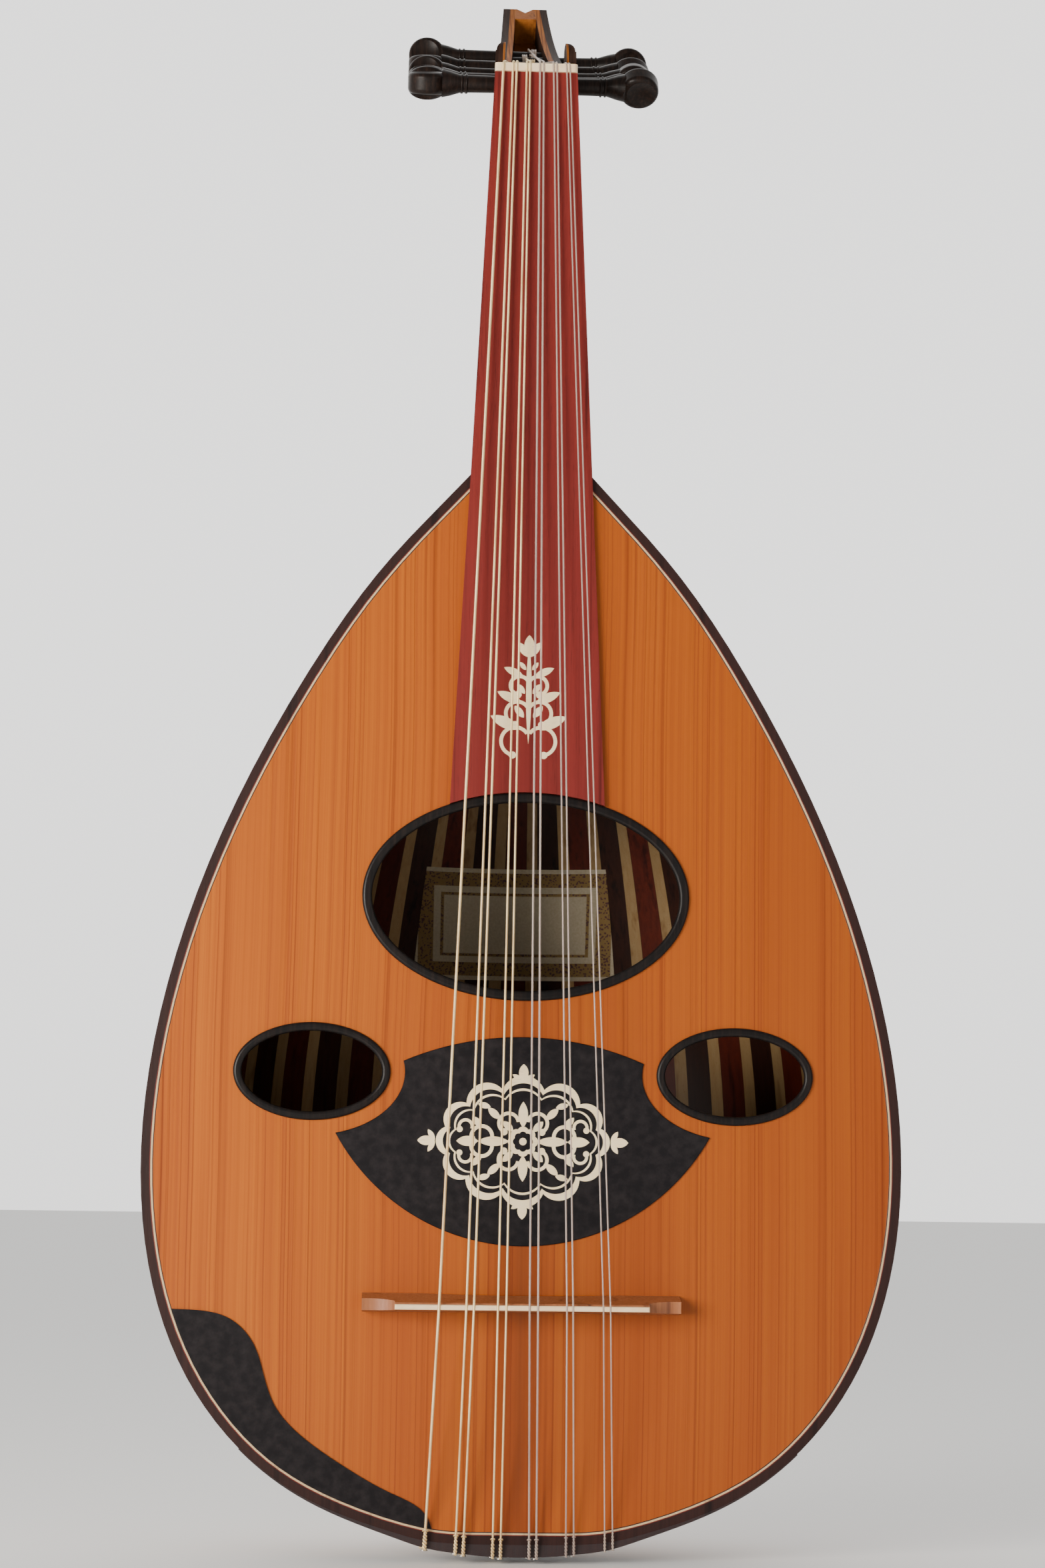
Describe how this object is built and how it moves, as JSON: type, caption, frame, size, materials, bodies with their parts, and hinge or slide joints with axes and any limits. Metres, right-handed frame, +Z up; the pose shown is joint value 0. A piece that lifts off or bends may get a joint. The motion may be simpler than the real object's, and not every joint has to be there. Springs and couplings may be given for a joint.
{
  "type": "oud",
  "caption": "Short-necked lute with a half-round bowl of striped ribs, three oval soundholes, a floating bridge, double courses of strings and a bent-back pegbox with turning pegs.",
  "frame": {"origin": "on the centre line, in the soundboard's plane, level with the neck side of the nut, where a hanger's yoke takes the neck", "axes": "+Z up along the neck, +X to the right seen from the front, +Y from the soundboard towards the back of the bowl"},
  "size_m": [0.3496, 0.2111, 0.7938],
  "materials": {
    "cedar_top": "satin varnish",
    "spruce_inside": "raw",
    "rosewood": "satin varnish",
    "padauk": "satin varnish",
    "maple": "satin varnish",
    "dark_binding": "satin varnish",
    "steel_pin": "brushed",
    "walnut": "satin varnish",
    "padauk_board": "satin",
    "cream_inlay": "polished",
    "bone": "polished",
    "walnut_cheek": "satin varnish",
    "pegbox_wood": "satin varnish",
    "ebony": "satin",
    "ebony_plate": "satin",
    "bridge_wood": "satin",
    "paper": "matte",
    "wound_string": "satin",
    "nylon_string": "clear",
    "ebony_peg": "polished"
  },
  "bodies": {
    "root": {"soundboard": "cedar_top", "soundboard_braces": "spruce_inside", "neck_block": "spruce_inside", "tail_block": "spruce_inside", "bowl_ribs_rosewood": "rosewood", "bowl_ribs_padauk": "padauk", "bowl_ribs_maple": "maple", "rim_binding": "dark_binding", "purfling": "maple", "end_clasp": "dark_binding", "hitch_pins": "steel_pin", "neck": "walnut", "fingerboard": "padauk_board", "fingerboard_inlay": "cream_inlay", "nut": "bone", "pegbox_left_cheek": "walnut_cheek", "pegbox_right_cheek": "walnut_cheek", "pegbox_back": "pegbox_wood", "pegbox_end_block": "pegbox_wood", "main_soundhole_ring": "ebony", "small_soundhole_rings": "ebony", "pickguard": "ebony_plate", "pickguard_inlay": "cream_inlay", "forearm_guard": "ebony_plate", "paper_label": "paper", "string_01": "wound_string", "string_02": "wound_string", "string_03": "wound_string", "string_04": "wound_string", "string_05": "wound_string", "string_06": "nylon_string", "string_07": "nylon_string", "string_08": "nylon_string", "string_09": "nylon_string", "string_10": "nylon_string", "string_11": "nylon_string"},
    "bridge": {"bridge_body": "bridge_wood", "bridge_saddle": "bone"},
    "peg_01": {"tuning_peg_01": "ebony_peg", "string_coil_01": "wound_string"},
    "peg_02": {"tuning_peg_02": "ebony_peg", "string_coil_02": "wound_string"},
    "peg_03": {"tuning_peg_03": "ebony_peg", "string_coil_03": "wound_string"},
    "peg_04": {"tuning_peg_04": "ebony_peg", "string_coil_04": "wound_string"},
    "peg_05": {"tuning_peg_05": "ebony_peg", "string_coil_05": "wound_string"},
    "peg_06": {"tuning_peg_06": "ebony_peg", "string_coil_06": "nylon_string"},
    "peg_07": {"tuning_peg_07": "ebony_peg", "string_coil_07": "nylon_string"},
    "peg_08": {"tuning_peg_08": "ebony_peg", "string_coil_08": "nylon_string"},
    "peg_09": {"tuning_peg_09": "ebony_peg", "string_coil_09": "nylon_string"},
    "peg_10": {"tuning_peg_10": "ebony_peg", "string_coil_10": "nylon_string"},
    "peg_11": {"tuning_peg_11": "ebony_peg", "string_coil_11": "nylon_string"}
  },
  "joints": [
    {"name": "peg_turn_01", "type": "hinge", "parent": "root", "child": "peg_01", "pos_m": [0, 0.02925, 0.00226], "axis": [-1, 0, 0], "range_deg": [-1350, 90]},
    {"name": "peg_turn_02", "type": "hinge", "parent": "root", "child": "peg_02", "pos_m": [0, 0.05145, 0.00983], "axis": [-1, 0, 0], "range_deg": [-1350, 90]},
    {"name": "peg_turn_03", "type": "hinge", "parent": "root", "child": "peg_03", "pos_m": [0, 0.07319, 0.01866], "axis": [-1, 0, 0], "range_deg": [-1350, 90]},
    {"name": "peg_turn_04", "type": "hinge", "parent": "root", "child": "peg_04", "pos_m": [0, 0.09437, 0.02873], "axis": [-1, 0, 0], "range_deg": [-1350, 90]},
    {"name": "peg_turn_05", "type": "hinge", "parent": "root", "child": "peg_05", "pos_m": [0, 0.11495, 0.04], "axis": [-1, 0, 0], "range_deg": [-1350, 90]},
    {"name": "peg_turn_06", "type": "hinge", "parent": "root", "child": "peg_06", "pos_m": [0, 0.13484, 0.05244], "axis": [-1, 0, 0], "range_deg": [-1350, 90]},
    {"name": "peg_turn_07", "type": "hinge", "parent": "root", "child": "peg_07", "pos_m": [0, 0.12498, 0.04607], "axis": [1, 0, 0], "range_deg": [-1350, 90]},
    {"name": "peg_turn_08", "type": "hinge", "parent": "root", "child": "peg_08", "pos_m": [0, 0.10474, 0.03421], "axis": [1, 0, 0], "range_deg": [-1350, 90]},
    {"name": "peg_turn_09", "type": "hinge", "parent": "root", "child": "peg_09", "pos_m": [0, 0.08385, 0.02354], "axis": [1, 0, 0], "range_deg": [-1350, 90]},
    {"name": "peg_turn_10", "type": "hinge", "parent": "root", "child": "peg_10", "pos_m": [0, 0.06238, 0.01409], "axis": [1, 0, 0], "range_deg": [-1350, 90]},
    {"name": "peg_turn_11", "type": "hinge", "parent": "root", "child": "peg_11", "pos_m": [0, 0.04041, 0.00589], "axis": [1, 0, 0], "range_deg": [-1350, 90]},
    {"name": "bridge_slide", "type": "slide", "parent": "root", "child": "bridge", "axis": [0, 0, 1], "range_m": [-0.004, 0.004], "deforming": ["string_01", "string_02", "string_03", "string_04", "string_05", "string_06", "string_07", "string_08", "string_09", "string_10", "string_11"]}
  ]
}
